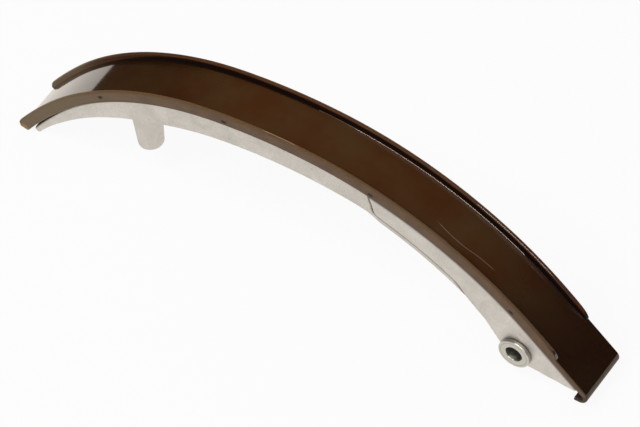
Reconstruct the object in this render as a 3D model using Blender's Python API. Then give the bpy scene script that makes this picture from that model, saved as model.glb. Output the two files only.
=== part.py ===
# Timing chain guide: a nylon slide lining clipped on a cast aluminium arm, which swings on a flanged
# steel bush. Units are metres, +Z is up, and the chain runs over the top along X. The part stands on
# the two ends of its lining, with the origin on the ground below its middle.
#
# Everything hangs on the running curve, the line in the XZ plane where the chain slides. A place on the
# part is an arc length along that curve and a height above it, and a depth is a height turned round.
import bmesh
import bpy
import math
from mathutils import Matrix, Vector

# Running curve: tangent arcs from the free end over the crown, then the straight tongue, then the hook
START_HEADING = math.radians(57.35)
LEAD_RADIUS = 0.2250
LEAD_ANGLE = math.radians(6.85)
RISE_RADIUS = 0.1427
RISE_ANGLE = math.radians(40.0)
CROWN_RADIUS = 0.2422
CROWN_ANGLE = math.radians(12.4)
FALL_RADIUS = 0.1788
FALL_ANGLE = math.radians(39.6)
TONGUE_LENGTH = 0.0369
HOOK_RADIUS = 0.0034
HOOK_ANGLE = math.radians(138.5)
HOOK_LIP_LENGTH = 0.0021

# Slide lining, moulded in one piece
LINING_WIDTH = 0.0280
FLOOR_THICKNESS = 0.0025
RIM_HEIGHT = 0.0036
RIM_TOP_WIDTH = 0.0018
RIM_FOOT_WIDTH = 0.0021
FOOT_FILLET = 0.0007
LINING_EDGE = 0.0004
NOSE_RADIUS = 0.0025
NOSE_LENGTH = 2.0 * NOSE_RADIUS
NOSE_LEAN = 0.40
RIM_END_START = 0.3085
RIM_END_LENGTH = 0.0110
RIM_END_SPREAD = 0.0002
TONGUE_RISE = 0.0009
HOOK_LIP_THICKNESS = 0.0021

# Arm, cast in one piece with its post: a web all along, and wider cheeks round the pivot
SEAT_CLEARANCE = 0.0003
TIP_GAP = 0.0007
TIP_GAP_LENGTH = 0.0610
ARM_START = 0.0028
ARM_END = 0.3370
WEB_WIDTH = 0.0240
WEB_EDGE = 0.0008
TIP_THICKNESS = 0.0032
TIP_ROUNDING = 0.0011
MIDDLE_THICKNESS = 0.0131
MIDDLE_START = 0.1070
MIDDLE_EASE = 1.35
SHOULDER_START = 0.2110
SHOULDER_LENGTH = 0.0080
SHOULDER_DROP = 0.0016
PIVOT_TAPER = 0.040
WEB_KNEE = 0.2730
CHEEK_WIDTH = 0.0270
CHEEK_EDGE = 0.0003
CHEEK_START = 0.2095
CHEEK_LEAN = 0.0058
CHEEK_THICKNESS = 0.0093
CHEEK_CORNER = 0.0022
CHEEK_TAPER = 0.044
KNEE_START = 0.2630
KNEE_LENGTH = 0.0140
KNEE_DROP = 0.0030
TOE_THICKNESS = 0.0014
BOSS_RADIUS = 0.0064

# Post below the free end, a tapered round boss that leans a little off plumb
POST_AT = 0.0796
POST_LENGTH = 0.0406
POST_LEAN = math.radians(5.9)
POST_END_RADIUS = 0.00595
POST_DRAFT = 0.061
POST_END_EDGE = 0.0005
POST_FILLET = 0.0016

# Pivot bush, a plain sleeve with a flange on the near side
PIVOT_AT = 0.3092
PIVOT_DEPTH = 0.0176
BORE_RADIUS = 0.0041
SLEEVE_RADIUS = 0.0050
FLANGE_RADIUS = 0.00775
FLANGE_THICKNESS = 0.0020
BUSH_CLEARANCE = 0.0003
BUSH_EDGE = 0.0003

# Fineness of the curves. The side levels are shares of the lining's height, one for each point inside
STATION_STEP = 0.0070
BEND_STEP = 0.0010
ROUND_STEPS = 48
CORNER_STEPS = 5
FILLET_STEPS = 4
FOOT_STEPS = 3
EDGE_STEPS = 2
SIDE_LEVELS = (1.0, 0.82, 0.6, 0.3, 0.0)
SMOOTH_ANGLE = math.radians(32)
SETTLING_ROUNDS = 6


def travel(point, heading, radius, length):
    """Move along an arc that turns right, or straight ahead where the radius is None."""
    if radius is None:
        return point + length * Vector((math.cos(heading), 0.0, math.sin(heading))), heading
    turned = heading - length / radius
    along = math.sin(heading) - math.sin(turned)
    up = math.cos(turned) - math.cos(heading)
    return point + radius * Vector((along, 0.0, up)), turned


def running_curve():
    """Each stretch of the running curve: where it starts, its heading there and its radius."""
    runs = (
        (LEAD_RADIUS * LEAD_ANGLE, LEAD_RADIUS),
        (RISE_RADIUS * RISE_ANGLE, RISE_RADIUS),
        (CROWN_RADIUS * CROWN_ANGLE, CROWN_RADIUS),
        (FALL_RADIUS * FALL_ANGLE, FALL_RADIUS),
        (TONGUE_LENGTH, None),
        (HOOK_RADIUS * HOOK_ANGLE, HOOK_RADIUS),
        (HOOK_LIP_LENGTH, None),
    )
    stretches = []
    arc = 0.0
    point = Vector((0.0, 0.0, 0.0))
    heading = START_HEADING
    for length, radius in runs:
        stretches.append((arc, point, heading, radius))
        point, heading = travel(point, heading, radius, length)
        arc += length
    return stretches, arc


STRETCHES, CURVE_END = running_curve()
HOOK_START = STRETCHES[-2][0]
LIP_START = STRETCHES[-1][0]


def on_curve(arc, height=0.0, side=0.0):
    """The point at this arc length, height above the running curve and distance across the chain."""
    begun = [stretch for stretch in STRETCHES if stretch[0] <= arc] or STRETCHES[:1]
    start, point, heading, radius = begun[-1]
    point, heading = travel(point, heading, radius, arc - start)
    return point + Vector((-height * math.sin(heading), side, height * math.cos(heading)))


def blend(first, last, share):
    return first + (last - first) * share


def share_of(value, start, length):
    return min(max((value - start) / length, 0.0), 1.0)


def ease(share):
    return share * share * (3.0 - 2.0 * share)


def spaced(first, last, step):
    """Even places from first to last, either way round, no further apart than the step."""
    count = max(1, math.ceil(abs(last - first) / step - 1e-6))
    return [blend(first, last, index / count) for index in range(count + 1)]


def material(name, colour, roughness, metallic):
    made = bpy.data.materials.new(name)
    made.use_nodes = True
    shader = made.node_tree.nodes["Principled BSDF"]
    shader.inputs["Base Color"].default_value = (*colour, 1.0)
    shader.inputs["Roughness"].default_value = roughness
    shader.inputs["Metallic"].default_value = metallic
    return made


def add_object(name, mesh, stand, surface):
    mesh.shade_smooth()
    mesh.set_sharp_from_angle(angle=SMOOTH_ANGLE)
    mesh.materials.append(surface)
    made = bpy.data.objects.new(name, mesh)
    made.parent = stand
    bpy.context.collection.objects.link(made)
    return made


def make_tool(made):
    """Keep an object for the booleans only."""
    made.hide_render = True
    made.display_type = "WIRE"
    return made


def combine(body, tool, operation):
    step = body.modifiers.new(f"{operation.lower()} {tool.name}", "BOOLEAN")
    step.object = make_tool(tool)
    step.operation = operation
    step.solver = "EXACT"


def loft(name, rings):
    """Skin closed rings of equal count. Each end ring folds in half and is capped like a ladder."""
    mesh = bmesh.new()
    loops = [[mesh.verts.new(point) for point in ring] for ring in rings]
    count = len(loops[0])
    for here, there in zip(loops, loops[1:]):
        for index in range(count):
            after = (index + 1) % count
            mesh.faces.new((here[index], here[after], there[after], there[index]))
    for loop in (loops[0], loops[-1]):
        for index in range(count // 2 - 1):
            mesh.faces.new((loop[index], loop[index + 1], loop[count - 2 - index], loop[count - 1 - index]))
    return finish_mesh(name, mesh)


def finish_mesh(name, mesh):
    bmesh.ops.recalc_face_normals(mesh, faces=mesh.faces[:])
    data = bpy.data.meshes.new(name)
    mesh.to_mesh(data)
    mesh.free()
    return data


def plate(name, outline, width, edge):
    """Extrude an outline in the XZ plane evenly to both sides and round the edges of its two faces."""
    mesh = bmesh.new()
    half = Vector((0.0, width / 2, 0.0))
    face = mesh.faces.new([mesh.verts.new(point - half) for point in outline])
    swept = bmesh.ops.extrude_face_region(mesh, geom=[face])["geom"]
    moved = [item for item in swept if isinstance(item, bmesh.types.BMVert)]
    bmesh.ops.translate(mesh, verts=moved, vec=2.0 * half)
    rims = [item for item in mesh.edges if abs(item.verts[0].co.y - item.verts[1].co.y) < width / 2]
    bmesh.ops.bevel(mesh, geom=rims, offset=edge, segments=EDGE_STEPS, profile=0.5, affect="EDGES")
    return finish_mesh(name, mesh)


def corner(before, point, after, radius):
    """A corner of an outline, rounded by an arc that touches both of its legs."""
    back = (before - point).normalized()
    ahead = (after - point).normalized()
    half_angle = back.angle(ahead) / 2
    centre = point + (back + ahead).normalized() * radius / math.sin(half_angle)
    start = point + back * radius / math.tan(half_angle) - centre
    end = point + ahead * radius / math.tan(half_angle) - centre
    turn = start.angle(end)
    points = []
    for index in range(CORNER_STEPS + 1):
        share = index / CORNER_STEPS
        mixed = start * math.sin((1.0 - share) * turn) + end * math.sin(share * turn)
        points.append(centre + mixed / math.sin(turn))
    return points


def nose_setback(height):
    """How far in the free end begins at this height. Its foot leans in and its top is rounded."""
    round_start = RIM_HEIGHT - NOSE_RADIUS
    rounded = min(max(height - round_start, 0.0), NOSE_RADIUS)
    rounding = NOSE_RADIUS - math.sqrt(NOSE_RADIUS ** 2 - rounded ** 2)
    return rounding + NOSE_LEAN * max(round_start - height, 0.0)


def lining_ring(arc):
    """The section of the lining: a channel with two rims, which flattens into the tongue and hook."""
    ended = share_of(arc, RIM_END_START, RIM_END_LENGTH)
    left = 1.0 - ended ** 2
    floor = TONGUE_RISE * ease(ended)
    top = floor + RIM_HEIGHT * left
    thinned = ease(share_of(arc, HOOK_START, (LIP_START - HOOK_START) / 2))
    base = blend(-FLOOR_THICKNESS, TONGUE_RISE - HOOK_LIP_THICKNESS, thinned)
    half = LINING_WIDTH / 2

    outer = [(half - LINING_EDGE, top)]
    for level in SIDE_LEVELS:
        outer.append((half, blend(base + LINING_EDGE, top - LINING_EDGE, level)))
    outer.append((half - LINING_EDGE, base))

    foot_top = floor + FOOT_FILLET * left
    edge_top = top - LINING_EDGE * left
    wall = (RIM_TOP_WIDTH + RIM_FOOT_WIDTH) / 2
    inner = [(RIM_TOP_WIDTH - LINING_EDGE, top), (RIM_TOP_WIDTH, edge_top)]
    inner.append((wall, (edge_top + foot_top) / 2))
    for step in range(FOOT_STEPS + 1):
        angle = math.radians(90 * step / FOOT_STEPS)
        inner.append((
            RIM_FOOT_WIDTH + FOOT_FILLET * (1.0 - math.cos(angle)),
            foot_top - FOOT_FILLET * left * math.sin(angle),
        ))
    spread = (1.0 - left) * RIM_END_SPREAD
    inner = [(half - width - spread * index, height) for index, (width, height) in enumerate(inner)]

    ring = outer + [(-side, height) for side, height in reversed(outer)]
    ring += [(-side, height) for side, height in inner] + list(reversed(inner))
    points = []
    for side, height in ring:
        drawn_in = nose_setback(height) * (1.0 - share_of(arc, 0.0, NOSE_LENGTH))
        points.append(on_curve(arc + drawn_in, height, side))
    return points


def slide_lining(stand, surface):
    rim_end = RIM_END_START + RIM_END_LENGTH
    arcs = spaced(0.0, NOSE_LENGTH, 2.0 * BEND_STEP)
    arcs += spaced(NOSE_LENGTH, RIM_END_START, STATION_STEP)[1:]
    arcs += spaced(RIM_END_START, rim_end, 2.0 * BEND_STEP)[1:]
    arcs += spaced(rim_end, HOOK_START, STATION_STEP)[1:]
    arcs += spaced(HOOK_START, LIP_START, BEND_STEP)[1:]
    arcs += spaced(LIP_START, CURVE_END, STATION_STEP)[1:]
    return add_object("slide_lining", loft("slide_lining", [lining_ring(arc) for arc in arcs]), stand, surface)


def seat_depth(arc):
    """The arm's top: just below the lining, a little further away at the free end."""
    opened = (1.0 - share_of(arc, 0.0, TIP_GAP_LENGTH)) ** 2
    return FLOOR_THICKNESS + SEAT_CLEARANCE + TIP_GAP * opened


def web_thickness(arc):
    grown = math.sin(math.pi / 2 * share_of(arc, ARM_START, MIDDLE_START - ARM_START) ** MIDDLE_EASE)
    shoulder = SHOULDER_DROP * ease(share_of(arc, SHOULDER_START, SHOULDER_LENGTH))
    taper = PIVOT_TAPER * max(arc - SHOULDER_START, 0.0)
    return blend(TIP_THICKNESS, MIDDLE_THICKNESS, grown) + shoulder + taper


def cheek_thickness(arc):
    knee = KNEE_DROP * ease(share_of(arc, KNEE_START, KNEE_LENGTH))
    return CHEEK_THICKNESS + CHEEK_TAPER * max(arc - CHEEK_START, 0.0) + knee


def boss_arc(last, radius, toe):
    """Round the pivot from below: the arc that both the flank before it and the toe line touch."""
    pivot = on_curve(PIVOT_AT, -PIVOT_DEPTH)
    before = pivot - last
    after = toe - pivot
    start = math.atan2(before.z, before.x) - math.asin(radius / before.length)
    end = math.atan2(after.z, after.x) + math.asin(radius / after.length)
    angles = spaced(start, end, 2 * math.pi / ROUND_STEPS)
    return [pivot + radius * Vector((math.sin(angle), 0.0, -math.cos(angle))) for angle in angles]


def web_outline():
    """Side view of the web. Inside the cheeks its top and its end are sunk out of sight."""
    def seat(arc, sunk=0.0):
        return on_curve(arc, -seat_depth(arc) - sunk)

    def under(arc):
        return on_curve(arc, -seat_depth(arc) - web_thickness(arc))

    tip = ARM_START + 3.0 * TIP_ROUNDING
    top_left = seat(ARM_START)
    foot_left = seat(ARM_START, TIP_THICKNESS)
    outline = corner(seat(tip), top_left, foot_left, TIP_ROUNDING)
    outline += corner(top_left, foot_left, under(tip), TIP_ROUNDING)
    outline += [under(arc) for arc in spaced(tip, WEB_KNEE, STATION_STEP)]
    outline.append(on_curve(PIVOT_AT, -PIVOT_DEPTH))
    sunk = 2.0 * WEB_EDGE
    outline += [seat(arc, sunk) for arc in spaced(PIVOT_AT, CHEEK_START + sunk, STATION_STEP)]
    outline += [seat(arc) for arc in spaced(CHEEK_START, tip, STATION_STEP)]
    return outline


def cheek_outline():
    """Side view of the cheeks: leaning front edge, lower flank, boss round the pivot and flat toe."""
    def seat(arc, below=0.0):
        return on_curve(arc, -seat_depth(arc) - below)

    top_left = seat(CHEEK_START)
    foot_left = seat(CHEEK_START + CHEEK_LEAN, CHEEK_THICKNESS)
    first = CHEEK_START + CHEEK_LEAN + 2.0 * CHEEK_CORNER
    flank = [seat(arc, cheek_thickness(arc)) for arc in spaced(first, KNEE_START, STATION_STEP)]
    knee = spaced(KNEE_START, KNEE_START + KNEE_LENGTH, KNEE_LENGTH / CORNER_STEPS)[1:]
    flank += [seat(arc, cheek_thickness(arc)) for arc in knee]
    outline = corner(top_left, foot_left, flank[0], CHEEK_CORNER) + flank
    outline += boss_arc(outline[-1], BOSS_RADIUS, seat(ARM_END, TOE_THICKNESS))
    outline.append(seat(ARM_END, TOE_THICKNESS))
    return outline + [seat(arc) for arc in spaced(ARM_END, CHEEK_START, STATION_STEP)]


def post_mesh():
    """The post in rings. Those at its root follow the slope of the web's underside."""
    lean = Vector((math.sin(POST_LEAN), 0.0, -math.cos(POST_LEAN)))
    across = Vector((math.cos(POST_LEAN), 0.0, math.sin(POST_LEAN)))
    end = on_curve(POST_AT) + lean * POST_LENGTH

    def under(arc):
        return on_curve(arc, -seat_depth(arc) - web_thickness(arc))

    arc = POST_AT
    for _ in range(SETTLING_ROUNDS):
        arc -= (under(arc) - end).dot(across)
    reach = POST_END_RADIUS + POST_DRAFT * POST_LENGTH / 2 + POST_FILLET
    chord = under(arc + reach) - under(arc - reach)
    slope = -chord.dot(lean) / chord.dot(across)
    root = (end - (under(arc + reach) + under(arc - reach)) / 2).dot(lean)
    shaft = POST_END_RADIUS + POST_DRAFT * (root - POST_FILLET)
    profile = [(0.0, POST_END_RADIUS - POST_END_EDGE, 0.0), (POST_END_EDGE, POST_END_RADIUS, 0.0)]
    for step in range(FILLET_STEPS + 1):
        angle = math.radians(90 * step / FILLET_STEPS)
        wider = POST_FILLET * (1.0 - math.cos(angle))
        profile.append((root - POST_FILLET * (1.0 - math.sin(angle)), shaft + wider, slope))
    profile.append((root + 2.0 * POST_FILLET, shaft + POST_FILLET, slope))
    rings = []
    for up, radius, sloped in profile:
        ring = []
        for index in range(ROUND_STEPS):
            turn = 2 * math.pi * (index + 0.5) / ROUND_STEPS
            out = radius * math.cos(turn)
            side = Vector((0.0, radius * math.sin(turn), 0.0))
            ring.append(end - lean * (up + sloped * out) + across * out + side)
        rings.append(ring)
    return loft("post", rings)


def turned_mesh(name, profile):
    """Turn a closed profile of radius and side position about an axis that lies along Y."""
    mesh = bmesh.new()
    loops = []
    for index in range(ROUND_STEPS):
        turn = 2 * math.pi * index / ROUND_STEPS
        ring = [(radius * math.cos(turn), side, radius * math.sin(turn)) for radius, side in profile]
        loops.append([mesh.verts.new(point) for point in ring])
    for here, there in zip(loops, loops[1:] + loops[:1]):
        for index in range(len(profile)):
            after = (index + 1) % len(profile)
            mesh.faces.new((here[index], here[after], there[after], there[index]))
    return finish_mesh(name, mesh)


def bore_mesh(radius, length):
    mesh = bmesh.new()
    bmesh.ops.create_cone(
        mesh, cap_ends=True, segments=ROUND_STEPS, radius1=radius, radius2=radius, depth=length
    )
    bmesh.ops.rotate(mesh, verts=mesh.verts[:], matrix=Matrix.Rotation(math.radians(90), 3, "X"))
    return finish_mesh("pivot_bore", mesh)


def carrier(stand, surface):
    web = add_object("carrier", plate("web", web_outline(), WEB_WIDTH, WEB_EDGE), stand, surface)
    cheeks = add_object("cheeks", plate("cheeks", cheek_outline(), CHEEK_WIDTH, CHEEK_EDGE), stand, surface)
    post = add_object("post", post_mesh(), stand, surface)
    bore = add_object("pivot_bore", bore_mesh(SLEEVE_RADIUS + BUSH_CLEARANCE, 2 * CHEEK_WIDTH), stand, surface)
    bore.location = on_curve(PIVOT_AT, -PIVOT_DEPTH)
    combine(web, cheeks, "UNION")
    combine(web, post, "UNION")
    combine(web, bore, "DIFFERENCE")
    return web


def pivot_bush(stand, surface):
    """The sleeve stands as far out of the far cheek as the flange does of the near one."""
    end = CHEEK_WIDTH / 2 + BUSH_CLEARANCE + FLANGE_THICKNESS
    neck = FLANGE_THICKNESS - end
    edge = BUSH_EDGE
    profile = [
        (BORE_RADIUS, edge - end),
        (BORE_RADIUS, end - edge),
        (BORE_RADIUS + edge, end),
        (SLEEVE_RADIUS - edge, end),
        (SLEEVE_RADIUS, end - edge),
        (SLEEVE_RADIUS, neck),
        (FLANGE_RADIUS - edge, neck),
        (FLANGE_RADIUS, neck - edge),
        (FLANGE_RADIUS, edge - end),
        (FLANGE_RADIUS - edge, -end),
        (BORE_RADIUS + edge, -end),
    ]
    bush = add_object("pivot_bush", turned_mesh("pivot_bush", profile), stand, surface)
    bush.location = on_curve(PIVOT_AT, -PIVOT_DEPTH)
    return bush


def stand_up(stand, lining):
    """Turn the part until both ends of its lining are level, and put the origin below its middle."""
    points = [vertex.co for vertex in lining.data.vertices]
    middle = sum((point.x for point in points)) / len(points)
    turn = 0.0
    for _ in range(SETTLING_ROUNDS):
        pose = Matrix.Rotation(turn, 3, "Y")
        left = min((pose @ point for point in points if point.x < middle), key=lambda point: point.z)
        right = min((pose @ point for point in points if point.x > middle), key=lambda point: point.z)
        turn += math.atan2(right.z - left.z, right.x - left.x)
    placed = [Matrix.Rotation(turn, 3, "Y") @ point for point in points]
    along = [point.x for point in placed]
    stand.rotation_euler = (0.0, turn, 0.0)
    stand.location = (-(min(along) + max(along)) / 2, 0.0, -min(point.z for point in placed))


def build():
    for old in list(bpy.data.objects):
        bpy.data.objects.remove(old, do_unlink=True)
    stand = bpy.data.objects.new("standing_pose", None)
    bpy.context.collection.objects.link(stand)
    nylon = material("brown glossy nylon", (0.050, 0.018, 0.008), 0.18, 0.0)
    aluminium = material("die cast aluminium", (0.56, 0.55, 0.51), 0.50, 1.0)
    steel = material("turned steel", (0.62, 0.61, 0.58), 0.28, 1.0)
    lining = slide_lining(stand, nylon)
    carrier(stand, aluminium)
    pivot_bush(stand, steel)
    stand_up(stand, lining)


build()
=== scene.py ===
# %% [markdown]
# # Dressing a timing chain guide
# A timing chain guide is a curved rail in an engine. The chain slides over a channel of brown nylon, which lies on
# an arm of die-cast aluminium, and the arm hangs on a steel bush. The imported model gives the exact place and size
# of each piece. This lesson loads it.

# %% Load the imported frame
import math

import bmesh
import bpy
from mathutils import Matrix, Vector
from mathutils.kdtree import KDTree


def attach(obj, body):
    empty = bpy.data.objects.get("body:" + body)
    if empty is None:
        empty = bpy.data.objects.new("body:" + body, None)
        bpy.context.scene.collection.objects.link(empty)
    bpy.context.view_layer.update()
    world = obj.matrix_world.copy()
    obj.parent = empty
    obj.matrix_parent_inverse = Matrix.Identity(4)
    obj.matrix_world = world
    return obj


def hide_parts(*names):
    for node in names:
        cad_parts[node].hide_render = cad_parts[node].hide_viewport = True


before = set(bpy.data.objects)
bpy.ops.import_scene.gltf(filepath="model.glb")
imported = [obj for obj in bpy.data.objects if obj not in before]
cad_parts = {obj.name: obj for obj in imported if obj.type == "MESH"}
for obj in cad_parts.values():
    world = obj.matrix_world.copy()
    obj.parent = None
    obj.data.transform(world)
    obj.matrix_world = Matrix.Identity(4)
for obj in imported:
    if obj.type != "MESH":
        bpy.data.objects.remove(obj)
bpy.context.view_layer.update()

# %% [markdown]
# ## The camera
# A catalogue photo of a small part is taken from far away with a long lens, which keeps edges nearly
# parallel. The camera's place, its three axes and its lens were solved from edges of the part in the
# photo. Blender's camera looks along its own minus Z, so the matrix takes right, up and backward.

# %% Place the camera
MM = 0.001
RIGHT = Vector((0.84602, 0.53315, 0.00164))
UP = Vector((-0.41491, 0.65646, 0.63001))
BACKWARD = Vector((0.33481, -0.53368, 0.77659))
CAMERA_PLACE = Vector((0.88716, -1.40970, 2.07366))
LENS = 337.85


def facing(place, right, up, backward):
    """The matrix of a camera or a lamp at a place, from its own three axes."""
    return Matrix.Translation(place) @ Matrix((right, up, backward)).transposed().to_4x4()


camera = bpy.data.objects.new("photo_camera", bpy.data.cameras.new("photo_camera"))
bpy.context.collection.objects.link(camera)
camera.data.sensor_width = 36.0
camera.data.lens = LENS
camera.matrix_world = facing(CAMERA_PLACE, RIGHT, UP, BACKWARD)
bpy.context.scene.camera = camera
bpy.context.scene.view_settings.view_transform = "Standard"
print("camera is", round(camera.location.length, 3), "m from the part")

# %% [markdown]
# ## Nodes and colours
# Colours are given as sRGB hex values, but shaders calculate in linear light, so one function converts them.
# Another adds a node, sets its options and fills or links its inputs in one line. The inputs are a row in the order
# of the node's own sockets, such as a Map Range node's value and its four limits, or a dictionary where only some
# of the sockets are set.

# %% Colour and node helpers
def linear(hex_colour):
    """An sRGB hex colour as linear red, green, blue and alpha."""
    values = [int(hex_colour[place:place + 2], 16) / 255 for place in (1, 3, 5)]
    return [v / 12.92 if v <= 0.04045 else ((v + 0.055) / 1.055) ** 2.4 for v in values] + [1.0]


def add_node(tree, kind, inputs=(), **options):
    """Add a node. An input is a value, a hex colour, an output, or a node for its first active output."""
    node = tree.nodes.new("ShaderNode" + kind)
    for name, value in options.items():
        setattr(node, name, value)
    for socket, value in inputs.items() if isinstance(inputs, dict) else enumerate(inputs):
        if isinstance(value, bpy.types.Node):
            value = next(output for output in value.outputs if output.enabled)
        if isinstance(value, bpy.types.NodeSocket):
            tree.links.new(value, node.inputs[socket])
        else:
            node.inputs[socket].default_value = linear(value) if isinstance(value, str) else value
    return node


SMOOTH = {"interpolation_type": "SMOOTHSTEP"}
print("white is", linear("#ffffff"))

# %% [markdown]
# ## The paper, the room and the lamps
# The part stands on a sheet of white paper, whose left edge shows as a sharp line in the polished
# floor of the channel. The paper is mostly as bright as its own white to the camera and to
# reflections, and the rest is lit by the lamps, which keeps a soft shadow. Behind the part the room
# is dark and on the camera's side it is lighter, so the nylon stays deep brown and the metal pale.
# Reflections show the paper a little warm, as the photographed metal and nylon do.

# %% Lay the paper
PAPER_LEFT = -0.287
PAPER_RIGHT = 0.450
PAPER_HALF_DEPTH = 0.450
PAPER_HEIGHT = -0.00075
PAPER_GLOW = 0.92

bpy.ops.object.select_all(action="DESELECT")
bpy.ops.mesh.primitive_plane_add(size=1.0, location=((PAPER_LEFT + PAPER_RIGHT) / 2, 0.0, PAPER_HEIGHT))
paper = bpy.context.object
paper.name = "white_paper"
paper.scale = (PAPER_RIGHT - PAPER_LEFT, 2 * PAPER_HALF_DEPTH, 1.0)
bpy.ops.object.transform_apply(location=True, rotation=True, scale=True)

paper_white = bpy.data.materials.new("matt_white_paper")
paper_white.use_nodes = True
tree = paper_white.node_tree
tree.nodes.clear()
rays = add_node(tree, "LightPath").outputs
seen = add_node(tree, "Math", (rays["Is Camera Ray"], rays["Is Glossy Ray"]), operation="MAXIMUM")
seen = add_node(tree, "Math", (seen, rays["Is Transmission Ray"]), operation="MAXIMUM")
share = add_node(tree, "Math", (seen, PAPER_GLOW), operation="MULTIPLY")
lit = add_node(tree, "BsdfDiffuse", ("#f7f7f7",))
white = add_node(tree, "Mix", {0: rays["Is Camera Ray"], 6: "#fff8ee", 7: "#ffffff"}, data_type="RGBA")
glow = add_node(tree, "Emission", (white, 1.0))
mixed = add_node(tree, "MixShader", (share, lit, glow))
add_node(tree, "OutputMaterial", {"Surface": mixed})
paper.data.materials.append(paper_white)
print("paper is", round(paper.dimensions.x, 3), "by", round(paper.dimensions.y, 3), "m")

# %% Fill the room
ROOM_LIGHT = 0.42
ROOM_FRONT = 0.80
ROOM_BEHIND = 0.02

world = bpy.data.worlds.new("studio_room")
bpy.context.scene.world = world
world.use_nodes = True
tree = world.node_tree
tree.nodes.clear()
rays = add_node(tree, "LightPath").outputs
look = add_node(tree, "SeparateXYZ", (add_node(tree, "TexCoord").outputs["Generated"],))
mirrored = add_node(tree, "MapRange", (look.outputs["Y"], -1.0, -0.2, ROOM_FRONT, ROOM_BEHIND), **SMOOTH)
inside = add_node(tree, "Mix", {0: rays["Is Glossy Ray"], 2: ROOM_LIGHT, 3: mirrored}, data_type="FLOAT")
strength = add_node(tree, "Mix", {0: rays["Is Camera Ray"], 2: inside, 3: 1.0}, data_type="FLOAT")
sky = add_node(tree, "Background", ("#ffffff", strength))
add_node(tree, "OutputWorld", {"Surface": sky})
print("room light", ROOM_LIGHT, "mirrored", ROOM_BEHIND, "to", ROOM_FRONT)

# %% [markdown]
# Two lamps light the part. A large soft box at the upper left gives the gentle shadow. A narrow strip
# above the part is there for its reflection only: it draws the thin bright lines along the far rim,
# on the rounded top edge and in the fillet at its foot.

# %% Hang the lamps
PART_MIDDLE = 40.0 * MM


def add_lamp(name, place, width, depth, power):
    """A soft rectangular lamp that faces the part's middle, with its width along X."""
    backward = (Vector(place) - Vector((0.0, 0.0, PART_MIDDLE))).normalized()
    sideways = (Vector((1.0, 0.0, 0.0)) - backward.x * backward).normalized()
    bpy.ops.object.light_add(type="AREA")
    lamp = bpy.context.object
    lamp.name = name
    lamp.matrix_world = facing(place, sideways, backward.cross(sideways), backward)
    lamp.data.shape = "RECTANGLE"
    lamp.data.size = width
    lamp.data.size_y = depth
    lamp.data.energy = power
    return lamp


soft_box = add_lamp("soft_box", (-0.50, -0.50, 1.10), 0.60, 0.60, 7.0)
soft_box.visible_glossy = False
strip_lamp = add_lamp("strip_lamp", (0.40, -0.22, 1.00), 1.40, 0.24, 14.0)
strip_lamp.visible_diffuse = False
strip_lamp.data.color = linear("#fff4e8")[:3]
print("lamps:", soft_box.name, soft_box.data.energy, "W,", strip_lamp.name, strip_lamp.data.energy, "W")

# %% [markdown]
# ## The running curve
# The whole guide follows one line, where the chain slides: four arcs that touch each other, the
# straight tongue, and the hook. A Bezier curve can hold an arc of up to about 50 degrees almost
# exactly, if its handles are 4/3 tan(angle / 4) radii long. So the hook takes three spans. Each piece
# is modelled lying straight along X, and a Curve modifier then bends it along this line.

# %% Draw the running curve
CURVE_START = Vector((-0.146124, 0.0, 0.000145))
CURVE_HEADING = math.radians(57.4987)
HOOK_RADIUS = 3.4 * MM
HOOK_ANGLE = 138.5
SPANS = (
    (225.0 * MM, 6.85), (142.7 * MM, 40.0), (242.2 * MM, 12.4), (178.8 * MM, 39.6),
    (None, 36.9 * MM),
    (HOOK_RADIUS, HOOK_ANGLE / 3), (HOOK_RADIUS, HOOK_ANGLE / 3), (HOOK_RADIUS, HOOK_ANGLE / 3),
    (None, 2.1 * MM),
)


def travel(point, heading, radius, amount):
    """Go along one span: an arc of so many degrees that turns down, or a straight of so many metres."""
    if radius is None:
        return point + amount * Vector((math.cos(heading), 0.0, math.sin(heading))), heading, amount, amount / 3
    turn = math.radians(amount)
    ahead = heading - turn
    move = Vector((math.sin(heading) - math.sin(ahead), 0.0, math.cos(ahead) - math.cos(heading)))
    return point + radius * move, ahead, radius * turn, 4 / 3 * math.tan(turn / 4) * radius


knots = [(CURVE_START, CURVE_HEADING)]
lengths = []
handles = []
for radius, amount in SPANS:
    point, heading, length, handle = travel(*knots[-1], radius, amount)
    knots.append((point, heading))
    lengths.append(length)
    handles.append(handle)
HOOK_START = sum(lengths[:5])
LIP_START = sum(lengths[:8])
CURVE_END = sum(lengths)

bpy.ops.object.select_all(action="DESELECT")
bpy.ops.curve.primitive_bezier_curve_add(location=(0.0, 0.0, 0.0))
running_curve = bpy.context.object
running_curve.name = "running_curve"
running_curve.data.dimensions = "3D"
running_curve.data.twist_mode = "MINIMUM"
running_curve.data.resolution_u = 64
running_curve.data.use_deform_bounds = False
spline = running_curve.data.splines[0]
spline.bezier_points.add(len(knots) - 2)
for index, (knot, (point, heading)) in enumerate(zip(spline.bezier_points, knots)):
    along = Vector((math.cos(heading), 0.0, math.sin(heading)))
    knot.handle_left_type = knot.handle_right_type = "FREE"
    knot.co = point
    knot.handle_left = point - along * handles[max(index - 1, 0)]
    knot.handle_right = point + along * handles[min(index, len(handles) - 1)]
print("running curve is", round(CURVE_END / MM, 2), "mm long, and the hook starts at", round(HOOK_START / MM, 2))

# %% [markdown]
# ## Tools for working by hand
# In edit mode an operator acts on what is selected, so a small function selects by place or normal.
# Before a piece is bent, its straight coordinates are stored on its points in millimetres. The
# materials read them, and so scratches and streaks follow the curve as they do on a real chain guide.

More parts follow.
